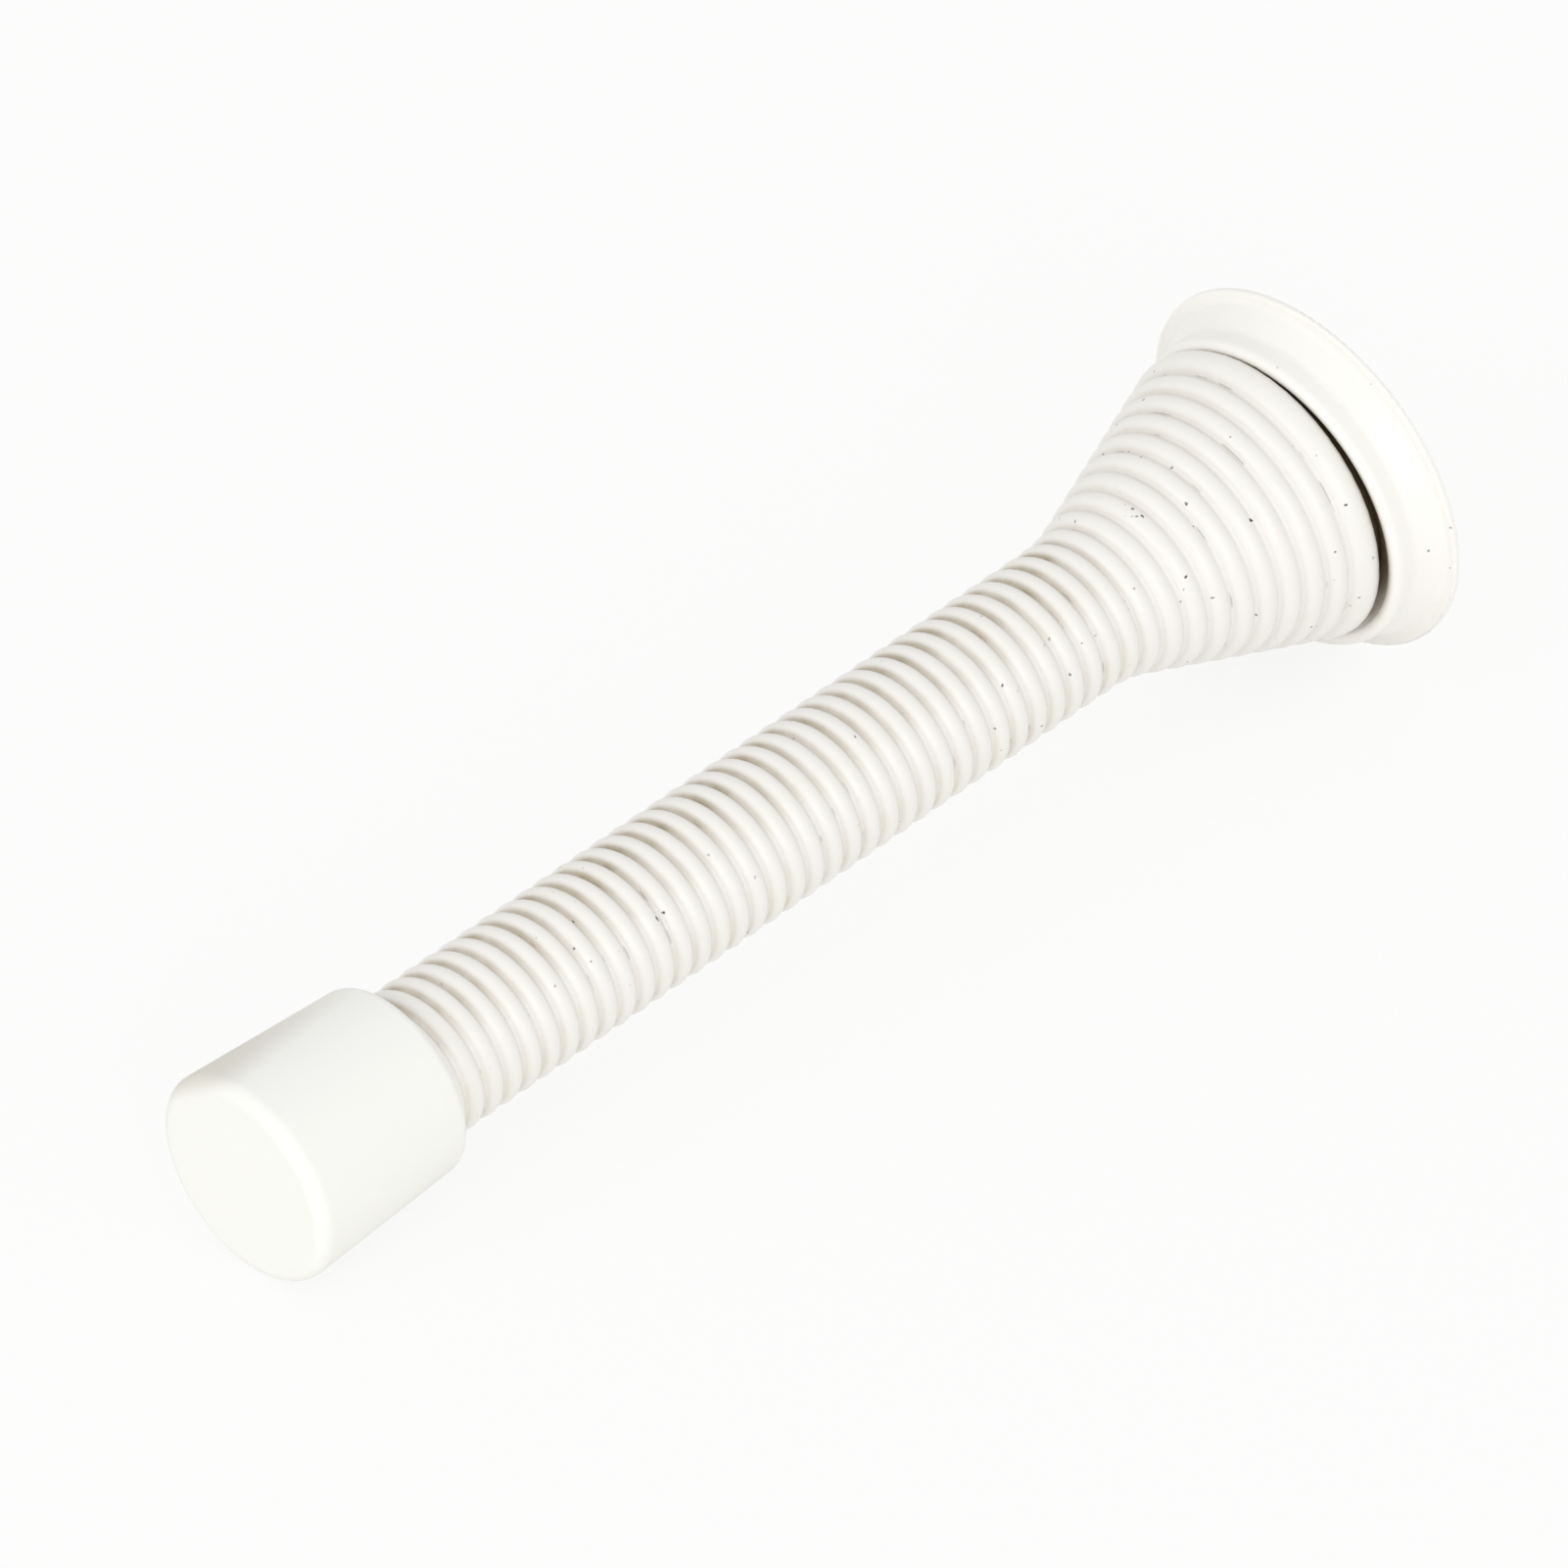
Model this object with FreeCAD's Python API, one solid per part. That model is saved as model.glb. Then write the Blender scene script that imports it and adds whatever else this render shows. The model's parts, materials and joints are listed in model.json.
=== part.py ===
import FreeCAD, Part
import math
import os
from FreeCAD import Placement, Rotation, Vector

os.makedirs("parts", exist_ok=True)

# Spring door stop: a flared, close-wound spring seated on a dished wall rose, with a push-on bumper
# cap. Lengths are in millimetres and angles in degrees. Every piece is drawn standing up, with the
# wall plane at height 0, and the finished stop is laid over to point out of the wall along -Y.

# Spring wire and winding
wire_d = 1.56
turn_gap = 0.04         # air between neighbouring turns
tube_r = 4.25           # winding radius of the straight part, to the middle of the wire
end_r = 9.7             # winding radius of the end turn, on the rose
flare_deg = 20.0        # slope of the flare to the spring's axis
neck_r = 9.0            # bend of the winding line where the flare runs into the straight part
spring_len = 79.9       # along the axis, from the middle of the first turn to that of the last
wire_end_deg = 291.0    # where the wire's lower end lies, turned about the axis from +X
end_drop = 0.5          # the end turn lies flat on the rose, this far from the next one
lean_deg = 1.86         # the spring sits a little askew on the rose
askew_deg = 143.0       # the side it leans and slides to, turned about the axis from +X
slide = 0.62            # its axis off the rose's centre, as far as the collar lets it

# Wall rose, pressed from one sheet: flange, sloping skirt and upright shoulder, folded over at the top
# into a bead under the end turn, then down into a moat, up over a collar inside the spring and down
# again to a well for the screw
sheet_t = 0.5
flange_w = 0.75         # flat ring that lies on the wall
skirt_w = 1.05          # sloping ring between the flange and the shoulder
skirt_h = 2.2           # crease at the skirt's top, over the wall
skirt_edge = 0.5        # rounding at the skirt's foot
crease_edge = 0.8
bead_out = 0.7          # middle of the bead beyond the end turn's winding radius
bead_h = 3.75           # top of the bead over the wall
moat_h = 1.6            # floor of the moat over the wall
moat_edge = 0.4
collar_h = 2.75         # collar's top over the bead
collar_spread = 1.0     # extra radius at the collar's foot
crown_w = 1.7           # top of the collar
crown_edge = 0.9
well_taper = 0.9        # the well narrows by this towards its floor
well_edge = 0.6
screw_hole_d = 4.5      # clearance for a 4 mm screw
rim_edge = 0.2

# Bumper cap
cap_len = 12.9
cap_wall = 1.33         # about the spring, at the open end
cap_spread = 0.74       # extra radius at the face
cap_grip = 6.6          # length of spring inside the cap
face_edge = 0.9
mouth_edge = 0.7

# Clearances
fold_gap = 0.1          # between the two walls of the bead's fold
seat_gap = 0.05         # end turn over the bead, where they come closest
collar_gap = 0.15       # collar inside the turns, on the side away from the slide
socket_gap = 0.1        # cap about the turns
socket_end_gap = 0.4    # last turn to the bottom of the socket

# Derived sizes
wire_r = wire_d / 2
pitch = wire_d + turn_gap
flare = math.radians(flare_deg)
askew = math.radians(askew_deg)
bead_r = end_r + bead_out
bead_w = 2 * sheet_t + fold_gap
bead_edge = sheet_t + fold_gap / 4
shoulder_r = bead_r + bead_w / 2
skirt_r = shoulder_r + skirt_w
rose_r = skirt_r + flange_w
collar_top_h = bead_h + collar_h
collar_top_r = end_r - wire_r / math.cos(flare) - collar_h * math.tan(flare) - slide - collar_gap
well_top_r = collar_top_r - crown_w
socket_r = tube_r + wire_r + socket_gap
mouth_r = socket_r + cap_wall
face_r = mouth_r + cap_spread

SEAT_SAMPLES = 90       # places along the end turn where its height over the bead is taken
STEPS_PER_TURN = 3      # pairs of tangent arcs that make one turn of the wire
DROP_START = 0.5        # turns from the lower end at which the let-down end turn starts to climb
DROP_END = 1.1          # and at which it has caught up with the winding


def rounded_line(corners):
    """Edges through (radius, height, rounding) corners in the XZ plane, with tangent arcs at the corners."""
    points = [Vector(r, 0, h) for r, h, _ in corners]
    edges = []
    start = points[0]
    for i in range(1, len(points) - 1):
        corner = points[i]
        back = (points[i - 1] - corner).normalize()
        ahead = (points[i + 1] - corner).normalize()
        rounding = corners[i][2]
        half = back.getAngle(ahead) / 2
        run = rounding / math.tan(half)
        middle = corner + (back + ahead).normalize() * (rounding / math.sin(half) - rounding)
        edges.append(Part.makeLine(start, corner + back * run))
        edges.append(Part.Arc(corner + back * run, middle, corner + ahead * run).toShape())
        start = corner + ahead * run
    edges.append(Part.makeLine(start, points[-1]))
    return edges


def turned(section):
    """Solid of revolution about the Z axis."""
    return section.revolve(Vector(0, 0, 0), Vector(0, 0, 1), 360)


def outer_edges(solid, radius):
    """Circular edges about the axis at one radius."""
    round_edges = [e for e in solid.Edges if isinstance(e.Curve, Part.Circle)]
    return [e for e in round_edges if abs(e.Curve.Radius - radius) < 1e-6]


def make_rose():
    front = Part.Wire(rounded_line([
        (rose_r, sheet_t, 0),
        (skirt_r, sheet_t, skirt_edge),
        (shoulder_r, skirt_h, crease_edge),
        (shoulder_r, bead_h, bead_edge),
        (shoulder_r - bead_w, bead_h, bead_edge),
        (shoulder_r - bead_w, moat_h, moat_edge),
        (collar_top_r + collar_spread, moat_h, moat_edge),
        (collar_top_r, collar_top_h, crown_edge),
        (well_top_r, collar_top_h, crown_edge),
        (well_top_r - well_taper, sheet_t, well_edge),
        (screw_hole_d / 2, sheet_t, 0),
    ]))
    sheet = front.makeOffset2D(sheet_t, 0, True, True)
    rose = turned(sheet)
    return rose.makeFillet(rim_edge, outer_edges(rose, rose_r))


# Winding line: the spring's half section through the middle of the wire, up the flare, round the
# neck and along the straight part. Turns follow it one pitch apart, so they lie against each other
# everywhere.
flare_run = (end_r - tube_r) / math.sin(flare) - neck_r * math.tan(flare / 2)
neck_run = neck_r * flare
neck_h = flare_run * math.cos(flare) + neck_r * math.sin(flare)
winding_run = flare_run + neck_run + spring_len - neck_h
turns = (winding_run - end_drop) / pitch


def winding(run):
    """Radius and height at a distance along the winding line."""
    if run <= flare_run:
        return end_r - run * math.sin(flare), run * math.cos(flare)
    if run <= flare_run + neck_run:
        angle = flare - (run - flare_run) / neck_r
        return tube_r + neck_r * (1 - math.cos(angle)), neck_h - neck_r * math.sin(angle)
    return tube_r, neck_h + run - flare_run - neck_run


def wire_run(turn):
    """Distance along the winding line after a number of turns, with an easy climb out of the end turn."""
    climb = min(max((turn - DROP_START) / (DROP_END - DROP_START), 0), 1)
    return turn * pitch + end_drop * climb ** 2 * (3 - 2 * climb)


def wire_point(turn):
    """Middle of the wire after a number of turns, wound right-handed from its lower end."""
    r, h = winding(wire_run(turn))
    angle = math.radians(wire_end_deg) + 2 * math.pi * turn
    return Vector(r * math.cos(angle), r * math.sin(angle), h)


def wire_direction(turn):
    step = 1e-4
    return (wire_point(turn + step) - wire_point(turn - step)).normalize()


def tangent_arc(start, corner, end):
    """Arc from start to end, tangent there to the lines through the corner."""
    chord_middle = (start + end) * 0.5
    half = (end - start).Length / 2
    rise = corner - chord_middle
    bend = math.atan2(rise.Length, half)
    return Part.Arc(start, chord_middle + rise.normalize() * half * math.tan(bend / 2), end).toShape()


def arc_pair(turn_0, turn_1):
    """Two arcs, tangent to the wire at both ends and to each other."""
    start, end = wire_point(turn_0), wire_point(turn_1)
    out, home = wire_direction(turn_0), wire_direction(turn_1)
    chord, both = end - start, out + home
    a, b, c = both.dot(both) - 4, -2 * chord.dot(both), chord.dot(chord)
    reach = (-b - math.sqrt(b * b - 4 * a * c)) / (2 * a)
    corner_0, corner_1 = start + out * reach, end - home * reach
    joint = (corner_0 + corner_1) * 0.5
    return [tangent_arc(start, corner_0, joint), tangent_arc(joint, corner_1, end)]


def make_spring():
    steps = math.ceil(turns * STEPS_PER_TURN)
    edges = []
    for i in range(steps):
        edges += arc_pair(turns * i / steps, turns * (i + 1) / steps)
    section = Part.Wire([Part.makeCircle(wire_r, wire_point(0), wire_direction(0))])
    return Part.Wire(edges).makePipe(Part.Face(section))


def make_cap():
    mouth_h = spring_len + wire_r - cap_grip
    face_h = mouth_h + cap_len
    socket_h = spring_len + wire_r + socket_end_gap
    outside = rounded_line([
        (socket_r, mouth_h, 0),
        (mouth_r, mouth_h, mouth_edge),
        (face_r, face_h, face_edge),
        (0, face_h, 0),
    ])
    inside = [
        Part.makeLine(Vector(0, 0, face_h), Vector(0, 0, socket_h)),
        Part.makeLine(Vector(0, 0, socket_h), Vector(socket_r, 0, socket_h)),
        Part.makeLine(Vector(socket_r, 0, socket_h), Vector(socket_r, 0, mouth_h)),
    ]
    return turned(Part.Face(Part.Wire(outside + inside)))


def lowest_centre(radius):
    """Height of the wire's middle when the wire just clears the bead at this distance from the rose's axis."""
    touch = bead_w / 2 + wire_r + seat_gap
    aside = min(abs(radius - bead_r), touch)
    return bead_h - bead_w / 2 + math.sqrt(touch ** 2 - aside ** 2)


def spring_place():
    """The spring leans and slides to one side, and comes down until its end turn meets the bead."""
    lean = Rotation(Vector(-math.sin(askew), math.cos(askew), 0), lean_deg)
    aside = Vector(math.cos(askew), math.sin(askew), 0) * slide
    drops = []
    for i in range(SEAT_SAMPLES):
        at = lean.multVec(wire_point(i / SEAT_SAMPLES)) + aside
        drops.append(lowest_centre(math.hypot(at.x, at.y)) - at.z)
    return Placement(aside + Vector(0, 0, max(drops)), lean)


out_of_wall = Placement(Vector(0, 0, 0), Rotation(Vector(1, 0, 0), 90))
on_rose = out_of_wall.multiply(spring_place())

rose = make_rose()
rose.Placement = out_of_wall
rose.exportStep("parts/rose.step")

coil_spring = make_spring()
coil_spring.Placement = on_rose
coil_spring.exportStep("parts/coil_spring.step")

bumper_cap = make_cap()
bumper_cap.Placement = on_rose
bumper_cap.exportStep("parts/bumper_cap.step")
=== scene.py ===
# %% [markdown]
# # A spring door stop
# The stop has three pieces: a dished steel rose that is screwed to the wall, one long coated wire wound
# into a flared spring, and a soft bumper cap pushed over the spring's free end. The construction model
# already holds their true shapes and sizes, so it is loaded first as a fixed frame. This lesson dresses
# it: the spring is wound again with its coating on, the other two pieces keep their construction shape,
# and all three get the finish that the real ones have.

# %% Load the frame
import json
import math

import bmesh
import bpy
from mathutils import Euler, Matrix, Vector

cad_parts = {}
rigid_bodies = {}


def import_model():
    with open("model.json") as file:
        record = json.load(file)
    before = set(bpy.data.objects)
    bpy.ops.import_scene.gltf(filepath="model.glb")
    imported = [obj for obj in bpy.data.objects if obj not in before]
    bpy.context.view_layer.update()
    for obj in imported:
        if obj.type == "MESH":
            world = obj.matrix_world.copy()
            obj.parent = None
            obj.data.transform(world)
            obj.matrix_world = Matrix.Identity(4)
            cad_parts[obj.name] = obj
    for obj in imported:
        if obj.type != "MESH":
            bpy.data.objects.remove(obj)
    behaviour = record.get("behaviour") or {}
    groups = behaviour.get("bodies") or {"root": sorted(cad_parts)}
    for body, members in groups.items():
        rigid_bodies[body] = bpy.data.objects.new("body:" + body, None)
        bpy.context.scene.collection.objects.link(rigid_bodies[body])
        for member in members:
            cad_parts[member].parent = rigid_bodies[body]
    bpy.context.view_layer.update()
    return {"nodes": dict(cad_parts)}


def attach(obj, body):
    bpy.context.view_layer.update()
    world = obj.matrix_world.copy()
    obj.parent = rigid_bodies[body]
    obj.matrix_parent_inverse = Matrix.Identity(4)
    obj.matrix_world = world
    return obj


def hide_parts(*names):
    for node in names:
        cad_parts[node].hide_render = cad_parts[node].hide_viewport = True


for leftover in list(bpy.data.objects):
    bpy.data.objects.remove(leftover, do_unlink=True)
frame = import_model()
MM = 0.001
print("frame nodes:", sorted(frame["nodes"]))

# %% [markdown]
# ## The spring's winding line
# The spring is wound from 1.56 mm wire, turn against turn. Its half section is a line: a cone that
# narrows from the rose, a short bend at the neck, and then a straight tube. The wire moves one pitch
# along that line with every turn, which is why the turns stay side by side on the flare as well. Only
# the end turn differs: it lies flat on the rose, half a millimetre away from the next one, and the
# wire's cut tip dips a little further towards the rose.

# %% Winding line
WIRE_R = 0.78
PITCH = 1.60
TUBE_R = 4.25                       # winding radius of the straight tube
END_R = 9.70                        # winding radius of the end turn
FLARE = math.radians(20.0)
NECK_R = 9.0                        # bend of the winding line at the neck
SPRING_LEN = 79.9
END_DROP = 0.5                      # extra space over the end turn
CLIMB_FROM, CLIMB_TO = 0.5, 1.1     # turns over which the wire climbs out of the end turn
TIP_DIP, TIP_TURN = 0.38, 0.22      # dip of the cut tip, and the share of a turn that it takes

flare_run = (END_R - TUBE_R) / math.sin(FLARE) - NECK_R * math.tan(FLARE / 2)
neck_run = NECK_R * FLARE
neck_h = flare_run * math.cos(FLARE) + NECK_R * math.sin(FLARE)
TURNS = (flare_run + neck_run + SPRING_LEN - neck_h - END_DROP) / PITCH


def winding(run):
    """Radius, height and slope of the winding line at a distance along it, in millimetres."""
    if run <= flare_run:
        return END_R - run * math.sin(FLARE), run * math.cos(FLARE), FLARE
    if run <= flare_run + neck_run:
        slope = FLARE - (run - flare_run) / NECK_R
        return TUBE_R + NECK_R * (1 - math.cos(slope)), neck_h - NECK_R * math.sin(slope), slope
    return TUBE_R, neck_h + run - flare_run - neck_run, 0.0


def eased(share):
    """A share from 0 to 1 with a soft start and a soft stop."""
    return share ** 2 * (3 - 2 * share)


def wire_run(turn):
    """Distance along the winding line after a number of turns, with the climb and the tip's dip."""
    climb = min(max((turn - CLIMB_FROM) / (CLIMB_TO - CLIMB_FROM), 0), 1)
    tip = max(1 - turn / TIP_TURN, 0)
    return turn * PITCH + END_DROP * eased(climb) - TIP_DIP * eased(tip)


print("turns:", round(TURNS, 2), "neck ends", round(neck_h, 2), "mm up")

# %% [markdown]
# ## Section of the coated wire
# A spring can be made as a curve with a round bevel, or with a Screw modifier. Here a section is spun
# round the axis with a small lift at each step, because that gives clean rings of quads whose place
# along the wire is known. The section has two loops. The first is the round wire. The second is the
# coating that has run into the groove between two turns: its outer edge is a small arc that touches
# both, so the groove gets a soft bottom in place of a sharp one.

# %% Section
SIDES = 20
COAT_R = 0.2        # radius of the coating's hollow in the groove
COAT_STEPS = 6

groove_out = math.sqrt((WIRE_R + COAT_R) ** 2 - (PITCH / 2) ** 2)
groove_centre = Vector((groove_out, 0, PITCH / 2))
bm = bmesh.new()
wire_loop = bmesh.ops.create_circle(bm, cap_ends=False, segments=SIDES, radius=WIRE_R)["verts"]
bmesh.ops.rotate(bm, verts=wire_loop, cent=(0, 0, 0), matrix=Matrix.Rotation(math.pi / 2, 3, "X"))
touch = bmesh.ops.create_vert(bm, co=groove_centre * WIRE_R / (WIRE_R + COAT_R))["vert"][0]
arc = bmesh.ops.spin(bm, geom=[touch], cent=groove_centre, axis=(0, 1, 0), dvec=(0, 0, 0),
                     steps=COAT_STEPS, angle=2 * math.atan2(PITCH / 2, groove_out),
                     use_merge=False, use_duplicate=False)
far_touch = [v for v in arc["geom_last"] if isinstance(v, bmesh.types.BMVert)][0]
contact = bmesh.ops.create_vert(bm, co=(0, 0, PITCH / 2))["vert"][0]
bm.edges.new((far_touch, contact))
bm.edges.new((contact, touch))
bm.verts.index_update()
LOOP = len(bm.verts)
arc_ends = (touch.index, far_touch.index)
print("section of", LOOP, "vertices, groove", round(WIRE_R - groove_out + COAT_R, 2), "mm deep")

# %% [markdown]
# ## One turn
# The section is moved out to the tube's radius and spun once round. Spin slows down as its mesh grows,
# so only one turn is spun, and the whole spring is put together from copies of it. The two edges where
# the coating meets the wire are marked sharp all along, so that the coating's shading runs on from the
# wire's and not from its own hidden back.

# %% One turn
STEPS = 48

bmesh.ops.translate(bm, verts=bm.verts[:], vec=(TUBE_R, 0, 0))
bmesh.ops.spin(bm, geom=bm.verts[:] + bm.edges[:], cent=(0, 0, 0), axis=(0, 0, 1),
               dvec=(0, 0, PITCH / STEPS), angle=2 * math.pi, steps=STEPS,
               use_merge=False, use_duplicate=False)
bm.verts.index_update()
for edge in bm.edges:
    edge.smooth = not all(vert.index % LOOP in arc_ends for vert in edge.verts)
one_turn = bpy.data.meshes.new("one turn")
bm.to_mesh(one_turn)
bm.free()
print("one turn:", len(one_turn.vertices), "vertices in rings of", LOOP)

# %% [markdown]
# ## Stack of turns
# Copies of the turn are stacked. Each vertex gets room for two numbers that the finish can follow
# later: `groove` is 0 on the crest of the wire and grows towards the groove, and the second is 1 along
# the side of the tube where dust settles and which is turned from the lamps, so that its grooves get
# dust and painted shade. The opposite side, soiled from the floor and with painted shade in its
# grooves, has a lower number, and the rest of the tube a small one.

# %% Stack of turns
WIRE_END = math.radians(291.0)      # where the wire's cut tip lies on the rose
# the side turned from the lamps, with the most dust and the most painted shade in its grooves
DUSTY_SHADED_SIDE = math.radians(124.0)
SOILED_SHADED_SIDE = math.radians(-60.0)
SOILED_SHADED_SHARE = 0.4
LEAST_DUST_AND_SHADE = 0.08
FLARE_CLEANER_AND_LIGHTER = 0.8                 # share of the dust and of the painted shade that is missing on the flare


def dust_and_shade_settled(angle, slope):
    """How much dust and painted shade lie at a place round the spring, less where the winding line slopes.
    """
    round_spring = angle + WIRE_END
    settled_dust_and_shade = max(math.cos(round_spring - DUSTY_SHADED_SIDE),
                  SOILED_SHADED_SHARE * math.cos(round_spring - SOILED_SHADED_SIDE), LEAST_DUST_AND_SHADE)
    return settled_dust_and_shade * (1 - FLARE_CLEANER_AND_LIGHTER * slope / FLARE)


bm = bmesh.new()
for turn in range(math.ceil(TURNS)):
    first = len(bm.verts)
    bm.from_mesh(one_turn)
    bm.verts.ensure_lookup_table()
    bmesh.ops.translate(bm, verts=bm.verts[first:], vec=(0, 0, turn * PITCH))
groove = bm.verts.layers.float.new("groove")
dust_and_shade = bm.verts.layers.float.new("dust_and_shade")
bm.verts.index_update()
print("stack of", math.ceil(TURNS), "turns:", len(bm.verts), "vertices")

# %% [markdown]
# ## The whole spring
# Each ring is moved and tilted to its own place on the winding line, which opens the flare. Where the
# end turn stands off from the next one, the coating has run together into one wider band, so the
# section is stretched to bridge that gap. At the end the copies are welded, what is past the last turn
# is cut off, and both ends of the wire are closed.

# %% Spring wire
WELD = 0.0005

spare = []
for vert in bm.verts:
    copy, in_copy = divmod(vert.index, LOOP * (STEPS + 1))
    turn = copy + (in_copy // LOOP) / STEPS
    angle = 2 * math.pi * turn
    out = Vector((math.cos(angle), math.sin(angle), 0))
    outward = vert.co.dot(out) - TUBE_R
    upward = vert.co.z - turn * PITCH
    gap = wire_run(turn + 1) - wire_run(turn) - PITCH
    upward += gap * min(max((upward + WIRE_R) / (2 * WIRE_R), 0), 1)
    r, h, slope = winding(wire_run(turn))
    vert.co = out * (r + outward * math.cos(slope) - upward * math.sin(slope))
    vert.co.z = h + outward * math.sin(slope) + upward * math.cos(slope)
    vert[groove] = min(1 - outward / WIRE_R, 1)
    vert[dust_and_shade] = dust_and_shade_settled(angle, slope)
    if turn > TURNS:
        spare.append(vert)
bmesh.ops.delete(bm, geom=spare, context="VERTS")
bmesh.ops.remove_doubles(bm, verts=bm.verts[:], dist=WELD)
bmesh.ops.holes_fill(bm, edges=[e for e in bm.edges if e.is_boundary], sides=SIDES)
bmesh.ops.recalc_face_normals(bm, faces=bm.faces[:])
for face in bm.faces:
    face.smooth = len(face.verts) == 4
print("spring wire:", len(bm.faces), "faces")

# %% [markdown]
# ## Where the spring sits
# The spring isn't quite true on its rose: it leans a little and has slid a little to one side. One
# matrix takes the upright spring to that place and lays it over, so that it points out of the wall.

# %% Seat of the spring
LEAN = math.radians(1.86)
ASKEW = math.radians(143.0)     # the side it leans and slides to
SLIDE = 0.62
SEAT = 4.021                    # middle of the end turn over the wall

lean_axis = Vector((-math.sin(ASKEW), math.cos(ASKEW), 0))
aside = Vector((math.cos(ASKEW), math.sin(ASKEW), 0)) * SLIDE
on_rose = (Matrix.Scale(MM, 4) @ Matrix.Rotation(math.pi / 2, 4, "X")
           @ Matrix.Translation(aside + Vector((0, 0, SEAT))) @ Matrix.Rotation(LEAN, 4, lean_axis))
bmesh.ops.transform(bm, matrix=on_rose @ Matrix.Rotation(WIRE_END, 4, "Z"), verts=bm.verts[:])
spring_mesh = bpy.data.meshes.new("spring_wire")
bm.to_mesh(spring_mesh)
bm.free()
spring = bpy.data.objects.new("spring_wire", spring_mesh)
bpy.context.collection.objects.link(spring)
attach(spring, "root")
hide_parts("coil_spring")
print("spring's tip in mm:", [round(c / MM, 2) for c in on_rose @ Vector((0, 0, SPRING_LEN))])

# %% [markdown]
# ## Colours and nodes
# Colours are written as sRGB hex values, the way a paint chart gives them, and turned into the linear
# values that a shader wants. One small function adds a node, sets it up and links it, so that each
# finish below reads as a short list. Another starts a finish. Its shader keeps Blender's IOR of 1.5,
# which suits a stoved coating as well as vinyl.

# %% Helpers for materials


def linear(hex_colour):
    """sRGB hex to a linear colour with alpha."""
    parts = [int(hex_colour[i:i + 2], 16) / 255 for i in (1, 3, 5)]
    return [c / 12.92 if c <= 0.04045 else ((c + 0.055) / 1.055) ** 2.4 for c in parts] + [1.0]


def add(tree, kind, inputs=None, **settings):
    """A node of one kind, with its settings, its input values and its links."""
    node = tree.nodes.new(kind)
    for name, value in settings.items():
        setattr(node, name, value)
    for name, value in (inputs or {}).items():
        if isinstance(value, bpy.types.NodeSocket):
            tree.links.new(value, node.inputs[name])
        else:
            node.inputs[name].default_value = value
    return node


def finish(name, roughness):
    """A material with a Principled shader, and its object coordinates in millimetres."""
    mat = bpy.data.materials.new(name)
    mat.use_nodes = True
    tree = mat.node_tree
    shader = tree.nodes["Principled BSDF"]
    shader.inputs["Roughness"].default_value = roughness
    place = add(tree, "ShaderNodeTexCoord")
    in_mm = add(tree, "ShaderNodeVectorMath", {0: place.outputs["Object"], 1: (1 / MM, 1 / MM, 1 / MM)},
                operation="MULTIPLY")
    return mat, tree, shader, in_mm.outputs[0]


WARM_WHITE = "#F0EEE9"
print("warm white as linear:", [round(c, 3) for c in linear(WARM_WHITE)])

# %% [markdown]
# ## Dust in the coating
# A coating that is sprayed on and stoved always has some dust baked in: dark specks about a quarter of
# a millimetre across. A Voronoi texture has a point in each of its cells, and wherever the surface
# passes close to such a point a speck shows. A fine noise makes the specks uneven, and the cell's own
# random colour makes some fainter than others and leaves many out.

# %% Specks
SPECK_CELL = 1.3        # one speck at most in a cell of this size, in millimetres
SPECK_R = 0.12
SPECK_CORE = 0.4        # share of a speck's radius that is fully dark
SPECK_UNEVEN = 0.2      # size of the unevenness, in millimetres
FULL_SPECK = 0.75       # cells with a higher number than this have a full speck


def dust(tree, in_mm, rarity):
    """Mask of the dust specks: nothing between them, and from faint to full on a speck."""
    warp = add(tree, "ShaderNodeTexNoise", {"Vector": in_mm, "Scale": 1 / SPECK_UNEVEN, "Detail": 0.0})
    uneven = add(tree, "ShaderNodeVectorMath",
                 {0: warp.outputs["Color"], 1: (SPECK_UNEVEN, SPECK_UNEVEN, SPECK_UNEVEN), 2: in_mm},
                 operation="MULTIPLY_ADD")
    cells = add(tree, "ShaderNodeTexVoronoi", {"Vector": uneven.outputs[0], "Scale": 1 / SPECK_CELL})
    spot = add(tree, "ShaderNodeMapRange",
               {"Value": cells.outputs["Distance"], "From Min": SPECK_R / SPECK_CELL,
                "From Max": SPECK_CORE * SPECK_R / SPECK_CELL})
    strength = add(tree, "ShaderNodeMapRange",
                   {"Value": cells.outputs["Color"], "From Min": rarity, "From Max": FULL_SPECK})
    specks = add(tree, "ShaderNodeMath", {0: spot.outputs[0], 1: strength.outputs[0]}, operation="MULTIPLY")
    return specks.outputs[0]


print("dust specks of", 2 * SPECK_R, "mm")

# %% [markdown]
# ## Chips in the coating
# Knocks have chipped the wire's coating in a few places down to the dark steel. They are listed
# as points in the frame with a size. A place belongs to a chip where its distance from the point,
# made ragged by a noise, is small enough.

# %% Chips
CHIPS = {(0.04, -15.35, 6.99): 0.32, (5.53, -10.57, 5.79): 0.28, (2.10, -59.43, 4.44): 0.32,
         (-1.54, -4.14, 10.85): 0.18, (4.87, -16.44, 2.47): 0.18, (6.81, -12.03, -0.46): 0.2}
CHIP_RAGGED = 0.4                   # size of the raggedness, in millimetres
CHIP_EDGE, CHIP_CORE = 0.5, 0.35    # the noise is about a half, so a chip reaches about its size


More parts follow.
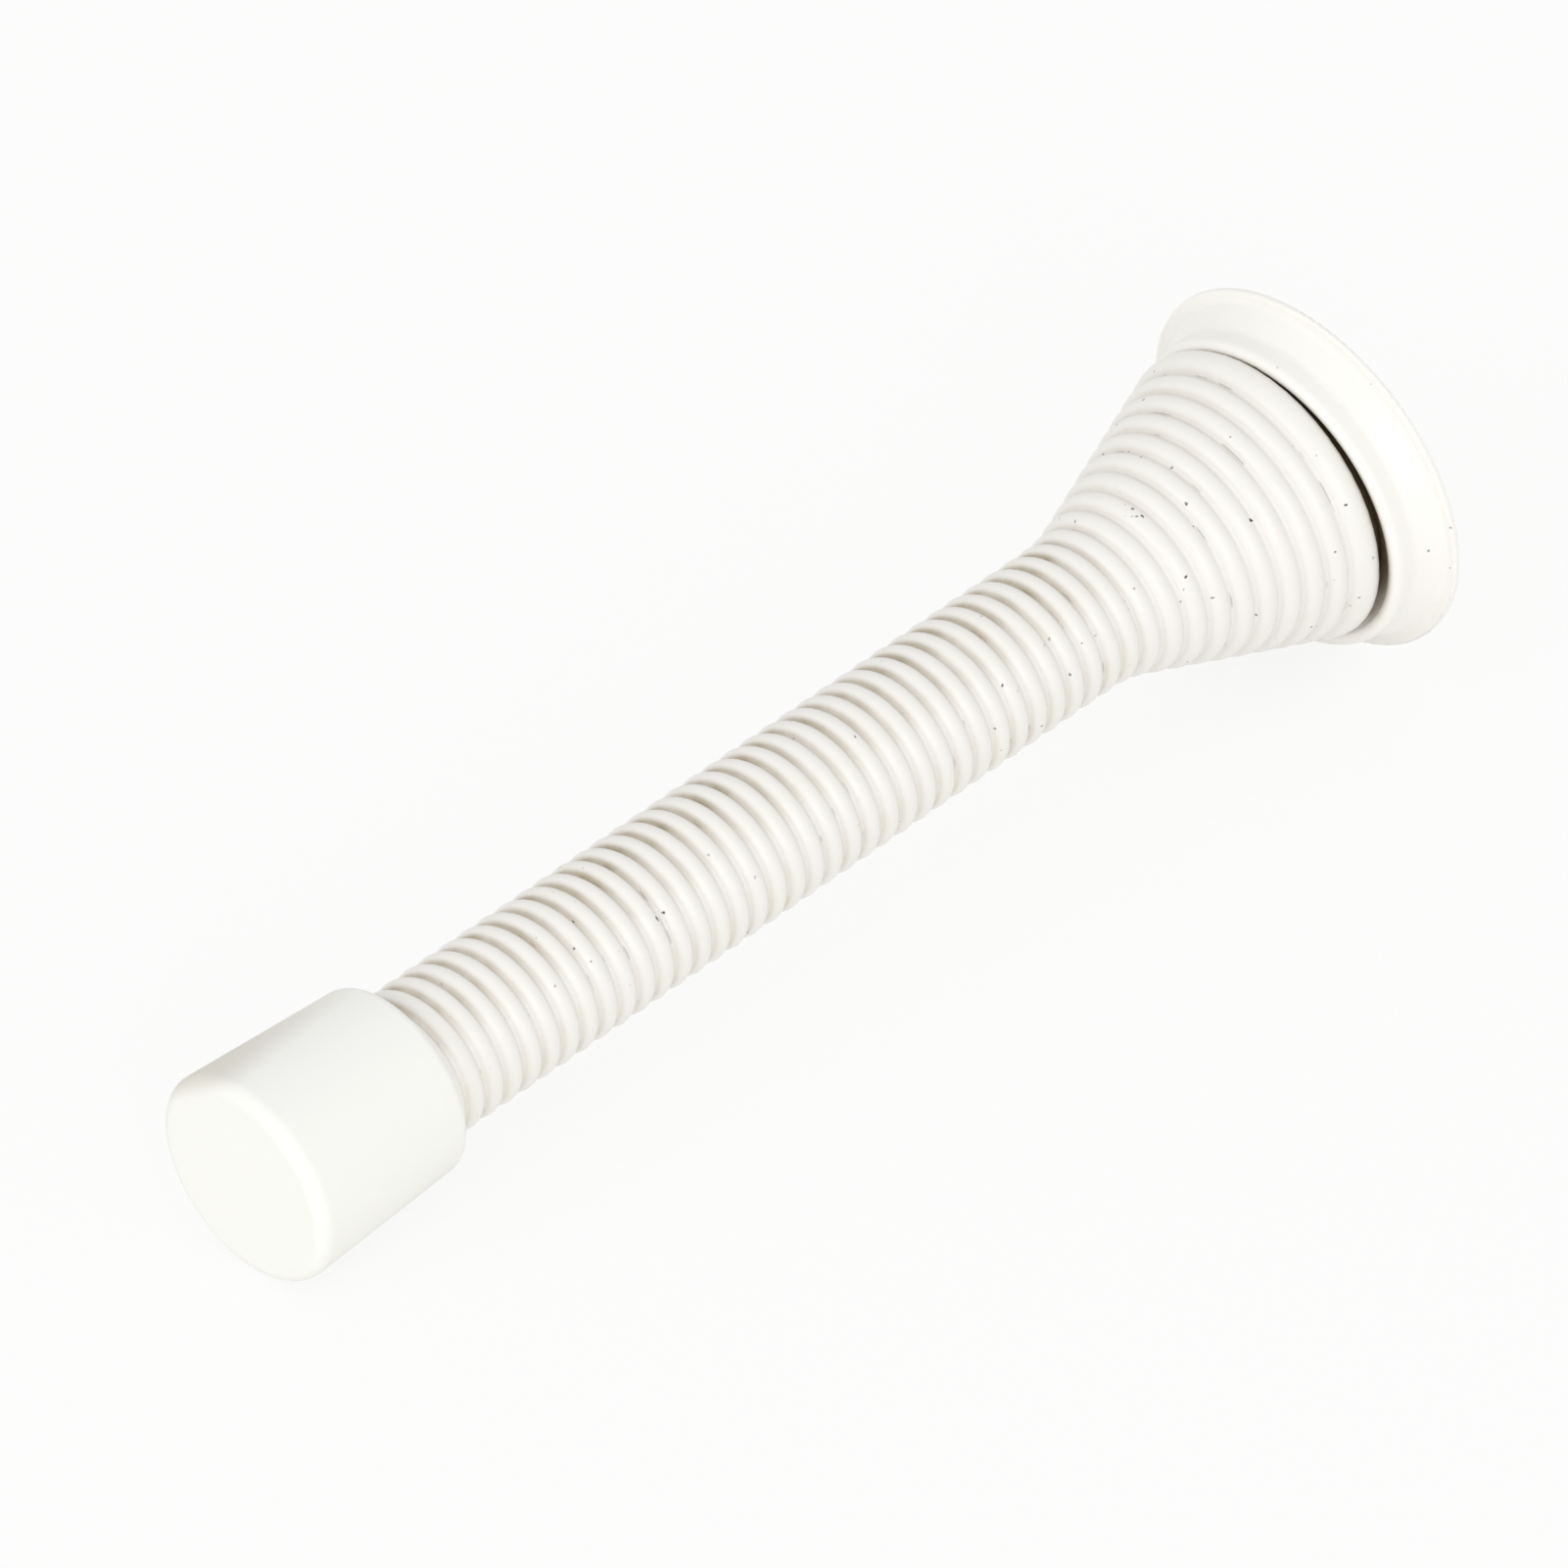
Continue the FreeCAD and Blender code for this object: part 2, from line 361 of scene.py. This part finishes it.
def chips(tree, in_mm, mask):
    """The mask with the knocks added to it."""
    ragged = add(tree, "ShaderNodeTexNoise", {"Vector": in_mm, "Scale": 1 / CHIP_RAGGED, "Detail": 0.0})
    for point, size in CHIPS.items():
        away = add(tree, "ShaderNodeVectorMath", {0: in_mm, 1: point}, operation="DISTANCE")
        edge = add(tree, "ShaderNodeMath", {0: away.outputs["Value"], 1: ragged.outputs[0]},
                   operation="MULTIPLY")
        hit = add(tree, "ShaderNodeMapRange", {"Value": edge.outputs[0], "From Min": CHIP_EDGE * size,
                                               "From Max": CHIP_CORE * size})
        mask = add(tree, "ShaderNodeMath", {0: mask, 1: hit.outputs[0]}, operation="MAXIMUM").outputs[0]
    return mask


print(len(CHIPS), "chips set by hand")

# %% [markdown]
# ## Coated spring wire: colour
# The wire is spring steel in a warm white coating, sprayed on after winding and stoved. On the crests
# it is smooth and half glossy. In the grooves it is beige: partly dust, and partly painted shade that is
# deepest on the side turned from the lamps. The `groove` number tells where the grooves are, the second
# number tells how much dust and painted shade lie there, and a slow noise makes the beige patchy.

# %% Coated wire, colour
# beige for dust and for painted shade, in the wire's grooves and on the cap's upper side
DUST_AND_SHADE_BEIGE = "#B8AB93"
PATCH = 2.5         # size of the beige patches, in millimetres

coated, tree, shader, in_mm = finish("stoved coating on spring wire", 0.36)
depth = add(tree, "ShaderNodeAttribute", attribute_name="groove")
side = add(tree, "ShaderNodeAttribute", attribute_name="dust_and_shade")
noise = add(tree, "ShaderNodeTexNoise", {"Vector": in_mm, "Scale": 1 / PATCH, "Detail": 3.0})
patches = add(tree, "ShaderNodeMapRange", {"Value": noise.outputs[0], "From Min": 0.3, "From Max": 0.7,
                                           "To Min": 0.5, "To Max": 1.1})
deep = add(tree, "ShaderNodeMapRange", {"Value": depth.outputs["Fac"], "From Min": 0.08, "From Max": 0.5},
           interpolation_type="SMOOTHSTEP")
settled_dust_and_shade = add(tree, "ShaderNodeMath", {0: side.outputs["Fac"], 1: patches.outputs[0]}, operation="MULTIPLY")
# painted shade in the grooves, mixed with real dust
groove_dust_and_shade = add(tree, "ShaderNodeMath", {0: deep.outputs[0], 1: settled_dust_and_shade.outputs[0]}, operation="MULTIPLY")
wire_colour = add(tree, "ShaderNodeMix",
                  {0: groove_dust_and_shade.outputs[0], 6: linear(WARM_WHITE), 7: linear(DUST_AND_SHADE_BEIGE)}, data_type="RGBA")
spring_mesh.materials.append(coated)
print("material:", coated.name, "on", spring.name)

# %% [markdown]
# ## Coated spring wire: wear
# Specks and chips show the dark steel. Where the slow noise is high, the coating has also split along
# the bottom of the groove in a hairline, which is drawn a little wider than a real one so that it
# shows. A fine bump gives the slight orange peel of a sprayed coat.

# %% Coated wire, wear
BARE_STEEL = "#2A2520"
WIRE_RARITY = 0.3                           # cells with a lower number have no speck on the wire
CRACK_FROM, CRACK_FULL = 0.512, 0.53        # `groove` numbers close to the bottom of the groove
PEEL = 0.6                                  # width of the orange peel's waves, in millimetres

spots = chips(tree, in_mm, dust(tree, in_mm, WIRE_RARITY))
bottom = add(tree, "ShaderNodeMapRange", {"Value": depth.outputs["Fac"], "From Min": CRACK_FROM,
                                          "From Max": CRACK_FULL, "To Max": 0.4})
split = add(tree, "ShaderNodeMapRange", {"Value": noise.outputs[0], "From Min": 0.6, "From Max": 0.66})
cracks = add(tree, "ShaderNodeMath", {0: bottom.outputs[0], 1: split.outputs[0]}, operation="MULTIPLY")
worn = add(tree, "ShaderNodeMath", {0: spots, 1: cracks.outputs[0]}, operation="MAXIMUM")
spotted = add(tree, "ShaderNodeMix",
              {0: worn.outputs[0], 6: wire_colour.outputs[2], 7: linear(BARE_STEEL)}, data_type="RGBA")
peel = add(tree, "ShaderNodeTexNoise", {"Vector": in_mm, "Scale": 1 / PEEL, "Detail": 1.0})
bump = add(tree, "ShaderNodeBump", {"Height": peel.outputs[0], "Strength": 0.12, "Distance": 0.1 * MM})
tree.links.new(spotted.outputs[2], shader.inputs["Base Color"])
tree.links.new(bump.outputs[0], shader.inputs["Normal"])
print("wear on the wire:", len(tree.nodes), "nodes in all")

# %% [markdown]
# ## Enamel in the fold
# The rose is pressed from thin sheet and sprayed after pressing. Enamel has run into the fold behind
# its bead and set there as a sloping ledge, which shows as a shaded strip in the gap under the end
# turn. It could be painted on as a shadow, but a real ledge takes the light properly from every side.
# Its section is a few points, as radius and height over the wall, spun once round the rose's axis.

# %% Enamel in the fold
LEDGE = [(10.25, 3.66), (10.05, 3.6), (9.85, 3.49), (9.6, 3.34), (9.35, 3.21), (9.1, 3.08), (8.75, 2.93),
         (8.6, 2.7), (8.55, 1.55), (10.2, 1.55)]
LEDGE_STEPS = 160

bm = bmesh.new()
section = [bm.verts.new((r, -h, 0)) for r, h in LEDGE]
edges = [bm.edges.new((section[i - 1], section[i])) for i in range(len(section))]
bmesh.ops.spin(bm, geom=section + edges, cent=(0, 0, 0), axis=(0, 1, 0), dvec=(0, 0, 0), angle=2 * math.pi,
               steps=LEDGE_STEPS, use_merge=True, use_duplicate=False)
bmesh.ops.scale(bm, vec=(MM, MM, MM), verts=bm.verts[:])
bmesh.ops.recalc_face_normals(bm, faces=bm.faces[:])
for face in bm.faces:
    face.smooth = True
ledge_mesh = bpy.data.meshes.new("enamel_ledge")
bm.to_mesh(ledge_mesh)
bm.free()
ledge = bpy.data.objects.new("enamel_ledge", ledge_mesh)
bpy.context.collection.objects.link(ledge)
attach(ledge, "root")
print("ledge:", len(ledge_mesh.polygons), "faces")

# %% [markdown]
# ## Enamelled rose: painted shade and dirt in the fold
# The enamel is the same warm white as the wire's coating, drawn a shade lighter as painted light, and a
# little glossier. In the fold it is brown: painted shade under the end turn, with some dirt that can't be
# wiped out. Four masks are multiplied: the distance from the rose's axis tells how far into the fold a
# place lies, and where the collar begins, the distance from the wall keeps the brown off the back, and a
# direction makes one side of the fold darker than the other.

# %% Enamelled rose, painted shade and dirt
FOLD_EDGE, FOLD_DEEP = 10.7, 9.7            # distances from the axis, in millimetres
COLLAR_FROM, COLLAR_TO = 7.45, 7.65
BACK_BELOW, FRONT_ABOVE = 1.7, 2.0          # distances from the wall
# the way along which the fold's painted shade and dirt grow darker
SHADED_DIRTY_WAY = (0.819, 0, 0.574)
LIT_CLEAN_TO, SHADED_DIRTY_FROM = 0.5, 7.5             # distances along that way

enamel, tree, shader, in_mm = finish("stoved enamel on pressed steel", 0.33)
flat = add(tree, "ShaderNodeVectorMath", {0: in_mm, 1: (1, 0, 1)}, operation="MULTIPLY")
from_axis = add(tree, "ShaderNodeVectorMath", {0: flat.outputs[0]}, operation="LENGTH")
from_wall = add(tree, "ShaderNodeVectorMath", {0: in_mm, 1: (0, -1, 0)}, operation="DOT_PRODUCT")
towards = add(tree, "ShaderNodeVectorMath", {0: in_mm, 1: SHADED_DIRTY_WAY}, operation="DOT_PRODUCT")
inside = add(tree, "ShaderNodeMapRange", {"Value": from_axis.outputs["Value"], "From Min": FOLD_EDGE,
                                          "From Max": FOLD_DEEP}, interpolation_type="SMOOTHSTEP")
# painted shade in the fold under the end turn, with some dirt
fold_shade_and_dirt = inside.outputs[0]
for measure, start, end in ((from_wall, BACK_BELOW, FRONT_ABOVE), (from_axis, COLLAR_FROM, COLLAR_TO),
                            (towards, LIT_CLEAN_TO, SHADED_DIRTY_FROM)):
    mask = add(tree, "ShaderNodeMapRange",
               {"Value": measure.outputs["Value"], "From Min": start, "From Max": end})
    fold_shade_and_dirt = add(tree, "ShaderNodeMath", {0: fold_shade_and_dirt, 1: mask.outputs[0]}, operation="MULTIPLY").outputs[0]
# the fold's brown is painted shade with some dirt
print("dirt in the fold from", FOLD_EDGE, "to", COLLAR_FROM, "mm from the axis")

# %% [markdown]
# ## Enamelled rose: colour
# The brown of the fold, painted shade with some dirt, goes over the white, and then come the specks,
# fewer than on the wire. The ledge in the fold is the same enamel, so it gets the same material.

# %% Enamelled rose, colour
# painted light: the wire's coating colour drawn a shade lighter, so that the rose comes out brighter
LIGHTER_ENAMEL_WHITE = "#F6F4EF"
# painted shade in the fold, with some dirt
FOLD_SHADE_AND_DIRT = "#7E6C4C"
SPECK_BROWN = "#6A6152"
ROSE_RARITY = 0.5           # cells with a lower number have no speck on the rose

rose_colour = add(tree, "ShaderNodeMix", {0: fold_shade_and_dirt, 6: linear(LIGHTER_ENAMEL_WHITE), 7: linear(FOLD_SHADE_AND_DIRT)},
                  data_type="RGBA")
spotted = add(tree, "ShaderNodeMix", {0: dust(tree, in_mm, ROSE_RARITY), 6: rose_colour.outputs[2],
                                      7: linear(SPECK_BROWN)}, data_type="RGBA")
tree.links.new(spotted.outputs[2], shader.inputs["Base Color"])
rose = frame["nodes"]["rose"]
rose.data.materials.clear()
rose.data.materials.append(enamel)
ledge_mesh.materials.append(enamel)
print("material:", enamel.name, "on", rose.name, "and", ledge.name)

# %% [markdown]
# ## Moulded cap
# The cap is moulded in soft white vinyl. It is cooler than the coating and quite dull, so its edge
# hardly shines, and it has a fine grain from the mould. That grain is about a tenth of a millimetre on
# the real cap and is drawn coarser here so that it shows. Its upper side is a little beige: partly dust,
# which clings to such soft plastic, and partly painted shade, as that side is turned from the lamps. A
# direction across the piece gives that side, measured in millimetres from the rose's axis.

# %% Moulded cap
VINYL_WHITE = "#F3F3EF"
CAP_UPPER = (-0.6, 0, 0.8)          # the upper side, with dust and painted shade
DUST_AND_SHADE_FROM, DUST_AND_SHADE_FULL = 9.0, 10.3    # distances along it
CAP_DUST_AND_SHADE = 0.36
GRAIN = 0.5                         # mould grain as drawn, in millimetres

vinyl, tree, shader, in_mm = finish("moulded soft vinyl", 0.85)
shader.inputs["Specular IOR Level"].default_value = 0.1
height = add(tree, "ShaderNodeVectorMath", {0: in_mm, 1: CAP_UPPER}, operation="DOT_PRODUCT")
# painted shade and dust on the cap's upper side
cap_dust_and_shade = add(tree, "ShaderNodeMapRange", {"Value": height.outputs["Value"], "From Min": DUST_AND_SHADE_FROM,
                                          "From Max": DUST_AND_SHADE_FULL, "To Max": CAP_DUST_AND_SHADE},
             interpolation_type="SMOOTHSTEP")
cap_colour = add(tree, "ShaderNodeMix",
                 {0: cap_dust_and_shade.outputs[0], 6: linear(VINYL_WHITE), 7: linear(DUST_AND_SHADE_BEIGE)}, data_type="RGBA")
grain = add(tree, "ShaderNodeTexNoise", {"Vector": in_mm, "Scale": 1 / GRAIN, "Detail": 2.0})
bump = add(tree, "ShaderNodeBump", {"Height": grain.outputs[0], "Strength": 0.08, "Distance": 0.1 * MM})
tree.links.new(cap_colour.outputs[2], shader.inputs["Base Color"])
tree.links.new(bump.outputs[0], shader.inputs["Normal"])
cap = frame["nodes"]["bumper_cap"]
cap.data.materials.clear()
cap.data.materials.append(vinyl)
print("material:", vinyl.name, "on", cap.name)

# %% [markdown]
# ## Camera
# The picture is taken with a long lens from well above, which keeps the two ends of the stop nearly the
# same size. The camera's place and turn are set directly.

# %% Camera
camera_data = bpy.data.cameras.new("camera")
camera_data.sensor_width = 36.0
camera_data.lens = 562.98
camera_data.clip_end = 20.0
camera = bpy.data.objects.new("camera", camera_data)
camera.location = Vector((814.653, -805.624, 997.505)) * MM
camera.rotation_euler = Euler([math.radians(a) for a in (48.2073, 3.4335, 43.9561)])
bpy.context.collection.objects.link(camera)
bpy.context.scene.camera = camera
right, up, back = (camera.rotation_euler.to_matrix().col[i].copy() for i in range(3))
print("camera", round(camera.location.length, 3), "m from the rose")

# %% [markdown]
# ## Floor
# The stop lies on a plain white table and touches it with the rim of its rose and the edge of its cap,
# so the table slopes a little in the rose's frame. A grid with one face is turned to that slope.

# %% Floor
TABLE_SIZE = 3.0            # half its width, in metres
TABLE_UNDER = 12.76         # from the rose's centre down to the table, in millimetres

table_normal = Vector((0.0012, 0.0848, 0.9964)).normalized()
table_turn = table_normal.to_track_quat("Z", "Y").to_matrix().to_4x4()
bm = bmesh.new()
bmesh.ops.create_grid(bm, x_segments=1, y_segments=1, size=TABLE_SIZE)
bmesh.ops.transform(bm, matrix=Matrix.Translation(table_normal * -TABLE_UNDER * MM) @ table_turn,
                    verts=bm.verts[:])
table_mesh = bpy.data.meshes.new("table")
bm.to_mesh(table_mesh)
bm.free()
table = bpy.data.objects.new("table", table_mesh)
bpy.context.collection.objects.link(table)
print("table laid under the rim and the cap")

# %% [markdown]
# ## White table
# Lit paper would come out grey, so what the camera sees of the table is mostly a white glow, with
# enough plain white mixed in to keep the soft shadow. Shiny surfaces see the same glow. To all other
# light the table is plain matt white, so it doesn't light the stop more than a real one does.

# %% White table
GLOW_SHARE = 0.85

paper = bpy.data.materials.new("white table")
paper.use_nodes = True
tree = paper.node_tree
tree.nodes.clear()
path = add(tree, "ShaderNodeLightPath")
seen = add(tree, "ShaderNodeMath", {0: path.outputs["Is Camera Ray"], 1: path.outputs["Is Glossy Ray"]},
           operation="MAXIMUM")
seen = add(tree, "ShaderNodeMath", {0: seen.outputs[0], 1: path.outputs["Is Transmission Ray"]},
           operation="MAXIMUM")
matt = add(tree, "ShaderNodeBsdfDiffuse", {"Color": linear("#F4F3F1")})
glow = add(tree, "ShaderNodeEmission", {"Color": linear("#FFFFFF"), "Strength": 1.0})
pale = add(tree, "ShaderNodeMixShader", {0: GLOW_SHARE, 1: matt.outputs[0], 2: glow.outputs[0]})
surface = add(tree, "ShaderNodeMixShader", {0: seen.outputs[0], 1: matt.outputs[0], 2: pale.outputs[0]})
add(tree, "ShaderNodeOutputMaterial", {"Surface": surface.outputs[0]})
table_mesh.materials.append(paper)
print("material:", paper.name)

# %% [markdown]
# ## Light
# Two large soft lamps stand near the camera. The key is a little to its right and below it, so the side
# that faces us is evenly bright and the upper left edge turns darker. The fill, to its left, is weaker
# and keeps that edge from going grey. The white world and the table light the rest. All are kept low
# enough for a white to render about as it is written.

# %% Light
LAMPS_AIM = 40              # millimetres up the spring
WORLD_STRENGTH = 0.83


def soft_lamp(name, away, size, watts):
    """A square area lamp that faces the middle of the stop."""
    data = bpy.data.lights.new(name, "AREA")
    data.size = size
    data.energy = watts
    lamp = bpy.data.objects.new(name, data)
    lamp.location = on_rose @ Vector((0, 0, LAMPS_AIM)) + away
    lamp.rotation_euler = away.to_track_quat("Z", "Y").to_euler()
    bpy.context.collection.objects.link(lamp)
    return lamp


key = soft_lamp("key", right * 0.22 - up * 0.33 + back * 1.0, size=0.7, watts=2.8)
fill = soft_lamp("fill", right * -0.8 - up * 0.05 + back * 0.8, size=0.6, watts=1.75)
world = bpy.data.worlds.new("studio")
bpy.context.scene.world = world
world.use_nodes = True
sky = world.node_tree.nodes["Background"]
sky.inputs["Color"].default_value = linear("#FFFFFF")
sky.inputs["Strength"].default_value = WORLD_STRENGTH
bpy.context.scene.view_settings.view_transform = "Standard"
print("lamps:", key.name, "and", fill.name)
